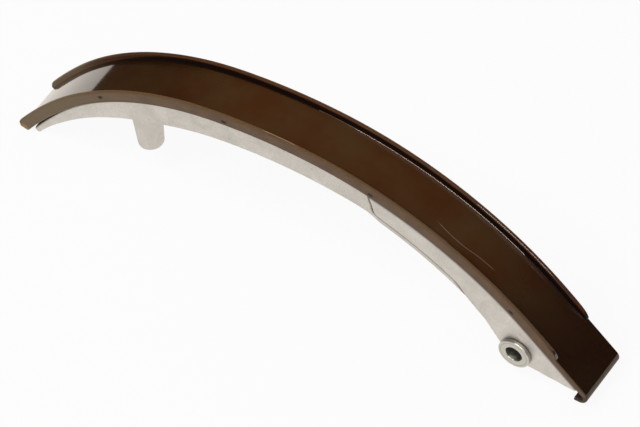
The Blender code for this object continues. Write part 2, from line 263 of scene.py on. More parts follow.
# %% Editing helpers
def start_block(name, low, high):
    """Add a cube and stretch it between two corners."""
    bpy.ops.object.select_all(action="DESELECT")
    bpy.ops.mesh.primitive_cube_add(size=1.0, location=[(a + b) / 2 for a, b in zip(low, high)])
    piece = bpy.context.object
    piece.name = piece.data.name = name
    piece.scale = [b - a for a, b in zip(low, high)]
    bpy.ops.object.transform_apply(location=True, rotation=True, scale=True)
    return piece


def spot(item):
    """The middle of a vertex, an edge or a face."""
    corners = [item] if isinstance(item, bmesh.types.BMVert) else list(item.verts)
    return sum((corner.co for corner in corners), Vector()) / len(corners)


def pick(kind, test):
    """In edit mode, select only the vertices, edges or faces that pass the test."""
    bpy.ops.mesh.select_mode(type=kind)
    bpy.ops.mesh.select_all(action="DESELECT")
    mesh = bmesh.from_edit_mesh(bpy.context.edit_object.data)
    chosen = [item for item in {"VERT": mesh.verts, "EDGE": mesh.edges, "FACE": mesh.faces}[kind] if test(item)]
    for item in chosen:
        item.select_set(True)
    bmesh.update_edit_mesh(bpy.context.edit_object.data)
    return len(chosen)


def near(value, goal):
    return abs(value - goal) < 0.01 * MM


def cut(place, normal):
    """Cut all faces with a plane and keep both sides."""
    bpy.ops.mesh.select_all(action="SELECT")
    bpy.ops.mesh.bisect(plane_co=place, plane_no=normal)


def move_picked(offset):
    bpy.ops.transform.translate(value=offset)


def face_outwards():
    bpy.ops.mesh.select_all(action="SELECT")
    bpy.ops.mesh.normals_make_consistent(inside=False)


def finish_step(piece, kind, **options):
    """Add a modifier to a piece and apply it."""
    bpy.ops.object.select_all(action="DESELECT")
    piece.select_set(True)
    bpy.context.view_layer.objects.active = piece
    step = piece.modifiers.new(kind.lower(), kind)
    for name, value in options.items():
        setattr(step, name, value)
    bpy.ops.object.modifier_apply(modifier=step.name)


def store_straight(piece):
    """Keep each point's straight place, in millimetres, for the materials."""
    laid_out = piece.data.attributes.new("laid_out", "FLOAT_VECTOR", "POINT")
    for vertex, kept in zip(piece.data.vertices, laid_out.data):
        kept.vector = vertex.co / MM


def ease(value, start, length):
    """From 0 before start to 1 after its length, with a soft beginning and end."""
    share = min(max((value - start) / length, 0.0), 1.0)
    return share * share * (3.0 - 2.0 * share)


print("helpers are ready")

# %% [markdown]
# ## The slide lining
# The lining is injection moulded from nylon, which slides well and takes engine oil. It is a floor
# with two low rims that keep the chain in line. Past the rims the floor rises into a plain tongue,
# which ends in a hook that holds the lining on the arm. A block is cut where the rims begin and end,
# the two strips are extruded, and the inner walls get the slight lean that lets a moulding leave its
# tool.

# %% Raise the rims
HALF_WIDTH = 14.0 * MM
FLOOR = 2.5 * MM
RIM_HEIGHT = 3.59 * MM
RIM_TOP = 1.8 * MM
RIM_FOOT = 2.1 * MM
RIM_END_START = 308.5 * MM
RIM_END = 319.5 * MM
RIM_END_ROUND = 3.4 * MM

lining = start_block("nylon_lining", (0.0, -HALF_WIDTH, -FLOOR), (CURVE_END, HALF_WIDTH, 0.0))
bpy.ops.object.mode_set(mode="EDIT")
cut((RIM_END, 0.0, 0.0), (1.0, 0.0, 0.0))
for side in (-1, 1):
    cut((0.0, side * (HALF_WIDTH - RIM_FOOT), 0.0), (0.0, 1.0, 0.0))
strips = pick("FACE", lambda f: f.normal.z > 0.9 and abs(spot(f).y) > HALF_WIDTH - RIM_FOOT and spot(f).x < RIM_END)
bpy.ops.mesh.extrude_region_move(TRANSFORM_OT_translate={"value": (0.0, 0.0, RIM_HEIGHT)})
for side in (-1, 1):
    pick("VERT", lambda v: near(v.co.z, RIM_HEIGHT) and near(v.co.y, side * (HALF_WIDTH - RIM_FOOT)))
    move_picked((0.0, side * (RIM_FOOT - RIM_TOP), 0.0))
print("rims extruded from", strips, "strips")

# %% [markdown]
# A bevel on the rim's end edge makes the ramp where the chain leaves, and a stretch along X makes it
# longer than it is high. The free end gets a round nose, and its foot leans in. Then the long edges
# are rounded: a fillet in the channel's corner, small rounds on the rims, and a larger one below.

# %% Shape the ends and round the edges
NOSE_ROUND = 2.5 * MM
NOSE_LEAN = 0.40
FOOT_FILLET = 0.45 * MM
BOTTOM_ROUND = 0.8 * MM
RIM_ROUND = 0.45 * MM

pick("EDGE", lambda e: all(near(v.co.z, RIM_HEIGHT) and near(v.co.x, RIM_END) for v in e.verts))
bpy.ops.mesh.bevel(offset=RIM_END_ROUND, segments=9, profile=0.42, affect="EDGES")
pick("VERT", lambda v: -RIM_END_ROUND - 0.1 * MM < v.co.x - RIM_END < 0.1 * MM and v.co.z > 0.1 * MM)
stretch = (RIM_END - RIM_END_START) / RIM_END_ROUND
bpy.ops.transform.resize(value=(stretch, 1.0, 1.0), center_override=(RIM_END, 0.0, 0.0))
pick("EDGE", lambda e: all(near(v.co.z, RIM_HEIGHT) and near(v.co.x, 0.0) for v in e.verts))
bpy.ops.mesh.bevel(offset=NOSE_ROUND, segments=8, affect="EDGES")
for height in (0.0, -FLOOR):
    pick("VERT", lambda v: near(v.co.x, 0.0) and near(v.co.z, height))
    move_picked((NOSE_LEAN * (RIM_HEIGHT - NOSE_ROUND - height), 0.0, 0.0))

pick("EDGE", lambda e: all(near(abs(v.co.y), HALF_WIDTH - RIM_FOOT) and near(v.co.z, 0.0) for v in e.verts)
     and spot(e).x < RIM_END and abs(e.verts[0].co.x - e.verts[1].co.x) > 20 * MM)
bpy.ops.mesh.bevel(offset=FOOT_FILLET, segments=4, affect="EDGES")
pick("EDGE", lambda e: all(near(abs(v.co.y), HALF_WIDTH) and near(v.co.z, -FLOOR) for v in e.verts))
bpy.ops.mesh.bevel(offset=BOTTOM_ROUND, segments=4, affect="EDGES")
bpy.ops.mesh.select_all(action="SELECT")
bpy.ops.mesh.dissolve_limited(angle_limit=math.radians(0.05))


def on_top_outline(edge):
    """Sharp edges that run lengthwise along the tops of the rims, their curved noses and the tongue."""
    if not edge.is_manifold or not edge.is_convex or edge.calc_face_angle() < math.radians(50):
        return False
    across = abs(edge.verts[0].co.y - edge.verts[1].co.y) > 0.5 * edge.calc_length()
    return not across and spot(edge).z > -0.1 * MM and 0.3 * MM < spot(edge).x < CURVE_END - 0.1 * MM


rounded = pick("EDGE", on_top_outline)
bpy.ops.mesh.bevel(offset=RIM_ROUND, segments=3, affect="EDGES", clamp_overlap=False)
print("rounded", rounded, "edges of the rims and the tongue")

# %% [markdown]
# The near side has four shallow dents from handling, each about 3.4 mm long. A flattened ball is sunk
# 0.4 mm into the side at each of them and cut away.

# %% Dent the near side
DENTS = ((65.0, 0.8), (135.0, 0.0), (210.5, 0.0), (290.0, -0.2))
BALL_SIZE = (1.9 * MM, 0.75 * MM, 1.05 * MM)
BALL_OUT = 0.35 * MM

bpy.ops.object.mode_set(mode="OBJECT")
for arc, height in DENTS:
    bpy.ops.object.select_all(action="DESELECT")
    place = (arc * MM, -HALF_WIDTH - BALL_OUT, height * MM)
    bpy.ops.mesh.primitive_uv_sphere_add(segments=20, ring_count=10, radius=1.0, location=place)
    ball = bpy.context.object
    ball.scale = BALL_SIZE
    bpy.ops.object.transform_apply(location=True, rotation=True, scale=True)
    finish_step(lining, "BOOLEAN", operation="DIFFERENCE", solver="EXACT", object=ball)
    bpy.data.objects.remove(ball)
bpy.ops.object.mode_set(mode="EDIT")
print("dents at", [arc for arc, height in DENTS], "mm along the guide")

# %% [markdown]
# A long face can't bend, so the lining is cut into stations: about 3 mm apart where the curve is
# gentle, and a third of a millimetre apart in the hook. The tongue's rise and the thinner lip are
# laws of the distance along the guide, so each point is moved by its own amount. The channel is also a
# little shallower at the free end, where the chain comes in. Where the fillets run out at the ends of
# the rims, cutting leaves a tiny triangle open or loose, which is filled or deleted.

# %% Cut the stations and bend the lining
TONGUE_RISE = 0.89 * MM
LIP_THICKNESS = 2.1 * MM
LEAD_RISE = 1.2 * MM
LEAD_END = 97.0 * MM
LEAD_LENGTH = 45.0 * MM
LEAD_HALF = 12.4 * MM
LEAD_TOP = 3.0 * MM
LINING_STEP = 3.0 * MM
HOOK_STEPS = 26

stations = [LINING_STEP * step for step in range(1, int(HOOK_START / LINING_STEP) + 1)]
stations += [HOOK_START + (LIP_START - HOOK_START) * step / HOOK_STEPS for step in range(HOOK_STEPS + 1)]
for station in stations:
    cut((station, 0.0, 0.0), (1.0, 0.0, 0.0))
bpy.ops.mesh.select_all(action="SELECT")
bpy.ops.mesh.remove_doubles(threshold=0.002 * MM)
bpy.ops.mesh.select_all(action="SELECT")
bpy.ops.mesh.fill_holes(sides=6)
if pick("FACE", lambda f: all(edge.is_boundary for edge in f.edges)):
    bpy.ops.mesh.delete(type="FACE")
if pick("EDGE", lambda e: e.is_boundary):
    bpy.ops.mesh.edge_face_add()
face_outwards()
bpy.ops.object.mode_set(mode="OBJECT")

for vertex in lining.data.vertices:
    place = vertex.co
    deep = min(max((place.z + FLOOR) / FLOOR, 0.0), 1.0)
    place.z += TONGUE_RISE * ease(place.x, RIM_END_START, RIM_END - RIM_END_START) * deep
    if place.z > -0.01 * MM and abs(place.y) < LEAD_HALF:
        shallow = 1.0 - ease(place.x, LEAD_END - LEAD_LENGTH, LEAD_LENGTH)
        place.z += LEAD_RISE * shallow * max(1.0 - place.z / LEAD_TOP, 0.0)
    thinned = ease(place.x, HOOK_START, (LIP_START - HOOK_START) / 2)
    if place.z < 0.0:
        place.z *= 1.0 + ((LIP_THICKNESS - TONGUE_RISE) / FLOOR - 1.0) * thinned
store_straight(lining)
finish_step(lining, "CURVE", object=running_curve, deform_axis="POS_X")
print("lining has", len(lining.data.polygons), "faces and measures", [round(v / MM, 1) for v in lining.dimensions])

# %% [markdown]
# ## The arm
# The arm is die cast: liquid aluminium is pressed into a steel mould. A casting has soft corners
# everywhere, because sharp ones would crack. Three rough forms are modelled by hand: the web, the
# cheeks round the pivot, and the post. A voxel Remesh then fuses them into one skin, and a light
# Smooth gives the inner and outer corners the radius that a casting has.

# %% The web, as a block that thickens along the guide
ARM_START = 2.8 * MM
WEB_END = 0.2990
WEB_HALF = 12.0 * MM
WEB_STEP = 4.0 * MM
SEAT_CLEARANCE = 0.3 * MM
TIP_GAP = 0.7 * MM
TIP_GAP_LENGTH = 61.0 * MM
TIP_THICKNESS = 3.2 * MM
TIP_ROUND = 1.1 * MM
WEB_ROUND = 0.8 * MM
MIDDLE_THICKNESS = 13.1 * MM
MIDDLE_START = 107.0 * MM
MIDDLE_EASE = 1.35
SHOULDER_START = 211.0 * MM
SHOULDER_LENGTH = 8.0 * MM
SHOULDER_DROP = 1.6 * MM
PIVOT_TAPER = 0.040
FULLER = 0.4 * MM
FULLER_START = 8.0 * MM
FULLER_END = 188.0 * MM
FULLER_EASE = 20.0 * MM
CHEEK_SUNK = 1.6 * MM
CHEEK_START = 209.5 * MM
WEB_KNEE = 273.0 * MM
PIVOT_AT = 309.2 * MM
PIVOT_DEPTH = 17.6 * MM


def seat_depth(arc):
    """How deep the arm's top lies below the running curve. The gap opens a little at the free end."""
    opened = (1.0 - min(arc / TIP_GAP_LENGTH, 1.0)) ** 2
    return FLOOR + SEAT_CLEARANCE + TIP_GAP * opened


def web_thickness(arc):
    """Thin at the tip, full in the middle, and a shoulder and a slow taper towards the pivot."""
    share = min(max((arc - ARM_START) / (MIDDLE_START - ARM_START), 0.0), 1.0)
    grown = math.sin(math.pi / 2 * share ** MIDDLE_EASE)
    shoulder = SHOULDER_DROP * ease(arc, SHOULDER_START, SHOULDER_LENGTH)
    taper = PIVOT_TAPER * max(arc - SHOULDER_START, 0.0)
    fuller = FULLER * ease(arc, FULLER_START, FULLER_EASE) * (1.0 - ease(arc, FULLER_END, FULLER_EASE))
    return TIP_THICKNESS + (MIDDLE_THICKNESS - TIP_THICKNESS) * grown + shoulder + taper + fuller


def web_depth(arc):
    """How deep the web's underside lies. Past the knee it runs up into the cheeks, out of sight."""
    knee = min(arc, WEB_KNEE)
    depth = seat_depth(knee) + web_thickness(knee)
    return depth + (PIVOT_DEPTH - depth) * max(arc - WEB_KNEE, 0.0) / (PIVOT_AT - WEB_KNEE)


web = start_block("web", (ARM_START, -WEB_HALF, -TIP_THICKNESS), (WEB_END, WEB_HALF, 0.0))
bpy.ops.object.mode_set(mode="EDIT")
for step in range(1, int((WEB_END - ARM_START) / WEB_STEP) + 1):
    cut((ARM_START + WEB_STEP * step, 0.0, 0.0), (1.0, 0.0, 0.0))
bpy.ops.object.mode_set(mode="OBJECT")
for vertex in web.data.vertices:
    place = vertex.co
    sunk = CHEEK_SUNK if place.x > CHEEK_START + CHEEK_SUNK else 0.0
    top = place.z > -TIP_THICKNESS / 2
    place.z = -(seat_depth(place.x) + sunk) if top else -web_depth(place.x)
bpy.ops.object.mode_set(mode="EDIT")
pick("EDGE", lambda e: all(near(v.co.x, ARM_START) for v in e.verts)
     and abs(e.verts[0].co.y - e.verts[1].co.y) > WEB_HALF)
bpy.ops.mesh.bevel(offset=TIP_ROUND, segments=4, affect="EDGES")
pick("EDGE", lambda e: all(near(abs(v.co.y), WEB_HALF) for v in e.verts) and e.calc_face_angle() > math.radians(60))
bpy.ops.mesh.bevel(offset=WEB_ROUND, segments=3, affect="EDGES")
bpy.ops.object.mode_set(mode="OBJECT")
finish_step(web, "CURVE", object=running_curve, deform_axis="POS_X")
print("web has", len(web.data.polygons), "faces")

# %% [markdown]
# The cheeks are a plate with a drawn outline: a leaning front edge, a flank that drops at the knee, a
# round boss below the pivot, and a straight line back up to the toe. A filled circle has as many
# corners as the outline needs, so its corners are put on the outline and its face is extruded. The
# front's lower corner is three points, each so many millimetres ahead of it and above it.

# %% The cheeks, from their outline
CHEEK_HALF = 13.5 * MM
CHEEK_LEAN = 5.8 * MM
CHEEK_DEPTH = 9.3 * MM
CHEEK_TAPER = 0.044
CHEEK_ROUND = 0.3 * MM
FRONT_CORNER = ((-1.2, 1.9), (-0.2, 0.6), (0.9, 0.1))
KNEE_START = 263.0 * MM
KNEE_LENGTH = 14.0 * MM
KNEE_DROP = 3.0 * MM
BEFORE_BOSS = (289.0 * MM, -19.7 * MM)
TOE_THICKNESS = 1.4 * MM
ARM_END = 337.0 * MM
BOSS_RADIUS = 6.4 * MM


def on_curve(arc, height=0.0, side=0.0):
    """The point at a distance along the running curve and a height above it."""
    point, heading = knots[0]
    for (radius, amount), length in zip(SPANS, lengths):
        if arc <= length:
            part = arc if radius is None else math.degrees(arc / radius)
            point, heading, _, _ = travel(point, heading, radius, part)
            break
        point, heading, _, _ = travel(point, heading, radius, amount)
        arc -= length
    return point + Vector((-height * math.sin(heading), side, height * math.cos(heading)))


def cheek_depth(arc):
    return CHEEK_DEPTH + CHEEK_TAPER * max(arc - CHEEK_START, 0.0) + KNEE_DROP * ease(arc, KNEE_START, KNEE_LENGTH)


def spread(first, last, count):
    return [first + (last - first) * index / count for index in range(count + 1)]


pivot = on_curve(PIVOT_AT, -PIVOT_DEPTH)
front_foot = CHEEK_START + CHEEK_LEAN
arcs = spread(front_foot + 3.0 * MM, KNEE_START + KNEE_LENGTH, 22)
flank = [on_curve(arc, -seat_depth(arc) - cheek_depth(arc)) for arc in arcs]
flank.append(on_curve(*BEFORE_BOSS))
toe = on_curve(ARM_END, -seat_depth(ARM_END) - TOE_THICKNESS)
before = pivot - flank[-1]
after = toe - pivot
first_turn = math.atan2(before.z, before.x) - math.asin(BOSS_RADIUS / before.length)
last_turn = math.atan2(after.z, after.x) + math.asin(BOSS_RADIUS / after.length)
turns = spread(first_turn, last_turn, 16)
boss = [pivot + BOSS_RADIUS * Vector((math.sin(turn), 0.0, -math.cos(turn))) for turn in turns]
front = [on_curve(CHEEK_START, -seat_depth(CHEEK_START))]
for ahead, above in FRONT_CORNER:
    front.append(on_curve(front_foot + ahead * MM, -seat_depth(front_foot) - CHEEK_DEPTH + above * MM))
top = [on_curve(arc, -seat_depth(arc)) for arc in spread(ARM_END, CHEEK_START, 40)[:-1]]
outline = front + flank + boss + [toe] + top

bpy.ops.object.select_all(action="DESELECT")
bpy.ops.mesh.primitive_circle_add(vertices=len(outline), radius=10 * MM, fill_type="NGON")
cheeks = bpy.context.object
cheeks.name = "cheeks"
for vertex, point in zip(cheeks.data.vertices, outline):
    vertex.co = point + Vector((0.0, -CHEEK_HALF, 0.0))
bpy.ops.object.mode_set(mode="EDIT")
bpy.ops.mesh.select_all(action="SELECT")
bpy.ops.mesh.extrude_region_move(TRANSFORM_OT_translate={"value": (0.0, 2 * CHEEK_HALF, 0.0)})
face_outwards()
pick("EDGE", lambda e: abs(e.verts[0].co.y - e.verts[1].co.y) < CHEEK_HALF)
bpy.ops.mesh.bevel(offset=CHEEK_ROUND, segments=2, affect="EDGES")
bpy.ops.object.mode_set(mode="OBJECT")
print("cheeks have an outline of", len(outline), "points, pivot at", [round(v / MM, 2) for v in pivot])

# %% [markdown]
# The post is a tapered round boss. It starts as a filled circle at its lower end, which is extruded
# and made wider step by step up to the web, with a flare where it runs into it. The web slopes there,
# so the upper rings are slid along the post's axis until they lie along the slope. The post's lean was
# measured when the curve began at a heading of 57.35 degrees, and it turns with the curve.

# %% The post and the bore
POST_AT = 79.6 * MM
POST_LENGTH = 40.6 * MM
POST_LEAN = math.radians(5.9)
LEAN_MEASURED_AT = math.radians(57.35)
POST_RADIUS = 5.95 * MM
POST_DRAFT = 0.061
POST_FILLET = 1.6 * MM
POST_SUNK = 3.0 * MM
POST_END_ROUND = 0.5 * MM
BORE_RADIUS = 5.3 * MM

lean_turn = CURVE_HEADING - LEAN_MEASURED_AT + POST_LEAN
axis = Vector((math.sin(lean_turn), 0.0, -math.cos(lean_turn)))
across = Vector((math.cos(lean_turn), 0.0, math.sin(lean_turn)))
post_end = on_curve(POST_AT) + axis * POST_LENGTH


def under_web(arc):
    return on_curve(arc, -web_depth(arc))


meet = POST_AT
for _ in range(6):
    meet -= (under_web(meet) - post_end).dot(across)
reach = POST_RADIUS + POST_DRAFT * POST_LENGTH / 2 + POST_FILLET
chord = under_web(meet + reach) - under_web(meet - reach)
slope = -chord.dot(axis) / chord.dot(across)
root = (post_end - (under_web(meet + reach) + under_web(meet - reach)) / 2).dot(axis)
shaft = POST_RADIUS + POST_DRAFT * (root - POST_FILLET)

bpy.ops.object.select_all(action="DESELECT")
bpy.ops.mesh.primitive_circle_add(vertices=64, radius=POST_RADIUS, fill_type="NGON", location=(0.0, 0.0, 0.0))
post = bpy.context.object
post.name = "post"
bpy.ops.object.mode_set(mode="EDIT")
bpy.ops.mesh.select_all(action="SELECT")
rings = [(0.5 * root, (POST_RADIUS + shaft) / 2)]
for turn in spread(0.0, math.pi / 2, 5):
    rings.append((root - POST_FILLET * (1.0 - math.sin(turn)), shaft + POST_FILLET * (1.0 - math.cos(turn))))
rings.append((root + POST_SUNK, shaft + POST_FILLET))
height, wide = 0.0, POST_RADIUS
for up, radius in rings:
    bpy.ops.mesh.extrude_region_move(TRANSFORM_OT_translate={"value": (0.0, 0.0, up - height)})
    bpy.ops.transform.resize(value=(radius / wide, radius / wide, 1.0), center_override=(0.0, 0.0, up))
    height, wide = up, radius
face_outwards()
pick("EDGE", lambda e: all(near(v.co.z, 0.0) for v in e.verts))
bpy.ops.mesh.bevel(offset=POST_END_ROUND, segments=3, affect="EDGES")
bpy.ops.object.mode_set(mode="OBJECT")
for vertex in post.data.vertices:
    out, side, up = vertex.co
    slid = slope * out if up > 0.6 * root else 0.0
    vertex.co = post_end - axis * (up + slid) + across * out + Vector((0.0, side, 0.0))
bpy.ops.object.mode_set(mode="EDIT")
face_outwards()
bpy.ops.object.mode_set(mode="OBJECT")

bpy.ops.object.select_all(action="DESELECT")
ACROSS = (math.radians(90), 0.0, 0.0)
bpy.ops.mesh.primitive_cylinder_add(vertices=96, radius=BORE_RADIUS, depth=60 * MM, location=pivot, rotation=ACROSS)
drill = bpy.context.object
finish_step(cheeks, "BOOLEAN", operation="DIFFERENCE", solver="EXACT", object=drill)
bpy.data.objects.remove(drill)
print("post meets the web", round(meet / MM, 1), "mm along the guide, at a slope of", round(slope, 3))

# %% Fuse the casting
VOXEL = 0.58 * MM

bpy.ops.object.select_all(action="DESELECT")
for form in (web, cheeks, post):
    form.select_set(True)
bpy.context.view_layer.objects.active = web
bpy.ops.object.join()
casting = web
casting.name = casting.data.name = "cast_arm"
finish_step(casting, "REMESH", mode="VOXEL", voxel_size=VOXEL, adaptivity=0.0)
finish_step(casting, "SMOOTH", factor=0.5, iterations=2)
bpy.ops.object.shade_smooth()
print("casting has", 2 * len(casting.data.polygons), "triangles")

# %% [markdown]
# A shade is painted into the casting's colour in the corner below the cheeks, where they stand out of the web, and
# along the joint below the lining. How close each point is to those lines is kept as a value on the point, and the
# casting's material darkens by it. The far side gets a lighter and narrower painted shade.

# %% Mark where shade is painted
FRONT_REACH = 2.4 * MM
FLANK_REACH = 2.7 * MM
FAR_REACH = 1.3 * MM
FAR_STRENGTH = 0.6
SHADE_FADE = 0.8 * MM
JOINT_REACH = 0.3 * MM
JOINT_FADE = 0.7 * MM
JOINT_STRENGTH = 0.7
LINE_STEPS = 12


def tree_of(points):
    """A search tree that finds the nearest of the points."""
    tree = KDTree(len(points))
    for index, point in enumerate(points):
        tree.insert(point, index)
    tree.balance()
    return tree


cheek_edge = []
for first, last in zip((front + flank)[:-1], (front + flank)[1:]):
    cheek_edge += [first.lerp(last, step / LINE_STEPS) for step in range(LINE_STEPS)]
arcs = spread(0.0, ARM_END, 1300)
line_tree = tree_of([on_curve(arc) for arc in arcs])
edge_tree = tree_of(cheek_edge)
painted_crease_shade = casting.data.attributes.new("painted_crease_shade", "FLOAT", "POINT")
# Each point's value is a painted shade: along the lining's edge, and in the corner below the cheeks, lighter on the
# far side.
for vertex, kept in zip(casting.data.vertices, painted_crease_shade.data):
    flat = Vector((vertex.co.x, 0.0, vertex.co.z))
    _, index, distance = line_tree.find(flat)
    joint = 1.0 - ease(distance - seat_depth(arcs[index]), JOINT_REACH, JOINT_FADE)
    _, index, distance = edge_tree.find(flat)
    reach = FRONT_REACH if index < LINE_STEPS else FLANK_REACH
    strength = 1.0 if abs(vertex.co.y) < CHEEK_HALF - 0.4 * MM else 0.0
    if vertex.co.y > 0.0:
        reach, strength = FAR_REACH, FAR_STRENGTH * strength
    corner = strength * (1.0 - ease(distance, reach - SHADE_FADE, SHADE_FADE))
    kept.value = max(JOINT_STRENGTH * joint, corner)
print("grime on", sum(1 for kept in painted_crease_shade.data if kept.value > 0.1), "points")

# %% [markdown]
# ## The pivot bush
# The bush is turned from steel bar on a lathe. The sleeve starts as a cylinder. A band of its side is
# extruded and widened into the flange, both ends are inset and opened, and bridging the two holes
# makes the bore. The lathe's chamfers are bevels on every sharp edge.

# %% Turn the bush
SLEEVE_RADIUS = 5.0 * MM
FLANGE_RADIUS = 7.75 * MM
FLANGE_THICKNESS = 2.0 * MM
PIN_RADIUS = 4.1 * MM
BUSH_END = 15.8 * MM
BUSH_CHAMFER = 0.3 * MM

bpy.ops.object.select_all(action="DESELECT")
bpy.ops.mesh.primitive_cylinder_add(
    vertices=128, radius=SLEEVE_RADIUS, depth=2 * BUSH_END, location=pivot, rotation=ACROSS,
)
bush = bpy.context.object
bush.name = bush.data.name = "steel_bush"
bpy.ops.object.transform_apply(location=True, rotation=True, scale=True)
bpy.ops.object.mode_set(mode="EDIT")
cut((0.0, FLANGE_THICKNESS - BUSH_END, 0.0), (0.0, 1.0, 0.0))
pick("FACE", lambda f: abs(f.normal.y) < 0.5 and spot(f).y < FLANGE_THICKNESS - BUSH_END)
bpy.ops.mesh.extrude_region_move()
widened = FLANGE_RADIUS / SLEEVE_RADIUS
bpy.ops.transform.resize(value=(widened, 1.0, widened), center_override=pivot)
pick("FACE", lambda f: abs(f.normal.y) > 0.9 and near(abs(spot(f).y), BUSH_END) and len(f.verts) > 4)
bpy.ops.mesh.inset(thickness=SLEEVE_RADIUS - PIN_RADIUS, use_even_offset=False)
bpy.ops.mesh.delete(type="FACE")
pick("EDGE", lambda e: e.is_boundary)
bpy.ops.mesh.bridge_edge_loops()
face_outwards()
pick("EDGE", lambda e: e.is_manifold and e.calc_face_angle() > math.radians(60))
bpy.ops.mesh.bevel(offset=BUSH_CHAMFER, segments=3, affect="EDGES")
bpy.ops.object.mode_set(mode="OBJECT")
bpy.ops.object.shade_smooth_by_angle(angle=math.radians(30))
print("bush has", len(bush.data.polygons), "faces and measures", [round(v / MM, 2) for v in bush.dimensions])

# %% [markdown]
# ## Finishes
# Glass-filled nylon 6.6 is brown right through. The tool's polished half gives the channel a mirror
# gloss, which the chain polishes further, and its plain half leaves the outer sides satin. Nylon's
# IOR is 1.53, and a clear coat stands for the oil-wet skin on the polished side. Streaks run along
# the guide, because that is how the chain slides.

# %% Helpers for the finishes
HALF_IN_MM = 14.0


def new_material(name):
    made = bpy.data.materials.new(name)
    made.use_nodes = True
    made.node_tree.nodes.clear()
    return made, made.node_tree


def start_nylon(tree, cloud, stretch, streak_detail, limits):
    """What each nylon starts from: the straight place, streaks along the guide and uneven clouds."""
    laid = add_node(tree, "Attribute", attribute_name="laid_out").outputs["Vector"]
    scale, detail, roughness = cloud
    clouds = add_node(tree, "TexNoise", {"Vector": laid, "Scale": scale, "Detail": detail, "Roughness": roughness})
    stretched = add_node(tree, "VectorMath", (laid, stretch), operation="MULTIPLY")
    fine = {"Vector": stretched, "Scale": 1.0, "Detail": streak_detail, "Roughness": 0.6}
    return laid, add_node(tree, "TexNoise", fine), add_node(tree, "MapRange", (clouds, *limits))


def scratch(tree, along, sideways, places, width):
    """1 on a line through places of (millimetres along, millimetres sideways), and 0 elsewhere."""
    first, last = places[0][0], places[-1][0]
    share = add_node(tree, "MapRange", (along, first, last))
    line = add_node(tree, "FloatCurve", {"Value": share})
    points = line.mapping.curves[0].points
    for index, (arc, side) in enumerate(places):
        spot_on_line = ((arc - first) / (last - first), (side + HALF_IN_MM) / (2 * HALF_IN_MM))
        if index in (0, len(places) - 1):
            points[0 if index == 0 else len(points) - 1].location = spot_on_line
        else:
            points.new(*spot_on_line)
    line.mapping.update()
    height = add_node(tree, "MapRange", (sideways, -HALF_IN_MM, HALF_IN_MM))
    gap = add_node(tree, "Math", (height, line), operation="SUBTRACT")
    gap = add_node(tree, "Math", (gap,), operation="ABSOLUTE")
    inside = add_node(tree, "MapRange", (gap, 0.0, width / (2 * HALF_IN_MM), 1.0, 0.0))
    fade = add_node(tree, "Math", (share, 0.5), operation="SUBTRACT")
    fade = add_node(tree, "Math", (fade,), operation="ABSOLUTE")
    fade = add_node(tree, "MapRange", (fade, 0.38, 0.499, 1.0, 0.0))
    return add_node(tree, "Math", (inside, fade), operation="MULTIPLY")


print("finish helpers are ready")

# %% [markdown]
# The channel's brown is painted darker at the free end and darkest towards the pivot, a painted shade where less
# light falls. Fine pale streaks and one long scratch run along it, and a painted shadow darkens the far edge of its
# floor at the free end, at the far rim's foot. The colours are laid over each other in order, each by its own
# share.

# %% Polished nylon of the channel
polished, tree = new_material("polished_moulded_nylon")
laid, streaks, uneven = start_nylon(tree, (0.045, 3.0, 0.5), (0.03, 2.2, 1.0), 4.0, (0.36, 0.64))
along, sideways, _ = add_node(tree, "SeparateXYZ", (laid,)).outputs
# Painted shade: the floor's brown is darkened at the free end and more towards the pivot.
left = add_node(tree, "MapRange", (along, 75.0, 150.0, 1.0, 0.0), **SMOOTH)
right = add_node(tree, "MapRange", (along, 250.0, 335.0), **SMOOTH)
brown, shaded_brown, deep_shaded_brown = [
    add_node(tree, "Mix", {0: uneven, 6: first, 7: second}, data_type="RGBA")
    for first, second in (("#502c11", "#52381e"), ("#3a1e07", "#40280e"), ("#2c1406", "#2e1d0c"))
]
faint = add_node(tree, "MapRange", (streaks, 0.58, 0.80, 0.0, 0.12))
# Painted shadow: the floor is darkened near the far rim's foot at the free end.
far_foot_shadow = add_node(tree, "MapRange", (sideways, 7.5, 9.5, 0.0, 0.85))
free_end = add_node(tree, "MapRange", (along, 70.0, 110.0, 1.0, 0.0))
far_foot_shadow = add_node(tree, "Math", (far_foot_shadow, free_end), operation="MULTIPLY")
line = ((239.2, -4.5), (246.0, -5.8), (255.5, -6.2), (264.5, -5.2), (274.0, -4.8))
long_scratch = scratch(tree, along, sideways, line, 0.19)
for share, colour in (
    (left, shaded_brown), (right, deep_shaded_brown), (faint, "#7a6048"), (far_foot_shadow, "#1a0e05"), (long_scratch, "#94775a"),
):
    brown = add_node(tree, "Mix", {0: share, 6: brown, 7: colour}, data_type="RGBA")
gloss = add_node(tree, "MapRange", (streaks, 0.3, 0.8, 0.07, 0.18))
gloss = add_node(tree, "Math", (gloss, long_scratch), operation="MAXIMUM")
shader = add_node(tree, "BsdfPrincipled", {
    "Base Color": brown, "Roughness": gloss, "IOR": 1.53,
    "Coat Weight": 0.8, "Coat Roughness": 0.05, "Coat IOR": 1.53,
})
add_node(tree, "OutputMaterial", {"Surface": shader})
print("polished nylon has", len(tree.nodes), "nodes")

# %% [markdown]
# The outer side is paler at the free end and darker low down, with a painted pale highlight where its lower round
# edge catches light. The hook is nearly black. The dents are painted darker, and the nose has a worn spot.

# %% Satin nylon of the outer sides, the underside and the hook
SIDE_NYLON = ((0.12, 4.0, 0.55), (0.05, 1.6, 1.6), 3.0, (0.35, 0.65))
HOOK_IN_MM = HOOK_START / MM
WORN_SPOT = (0.8, -13.4, -0.6)

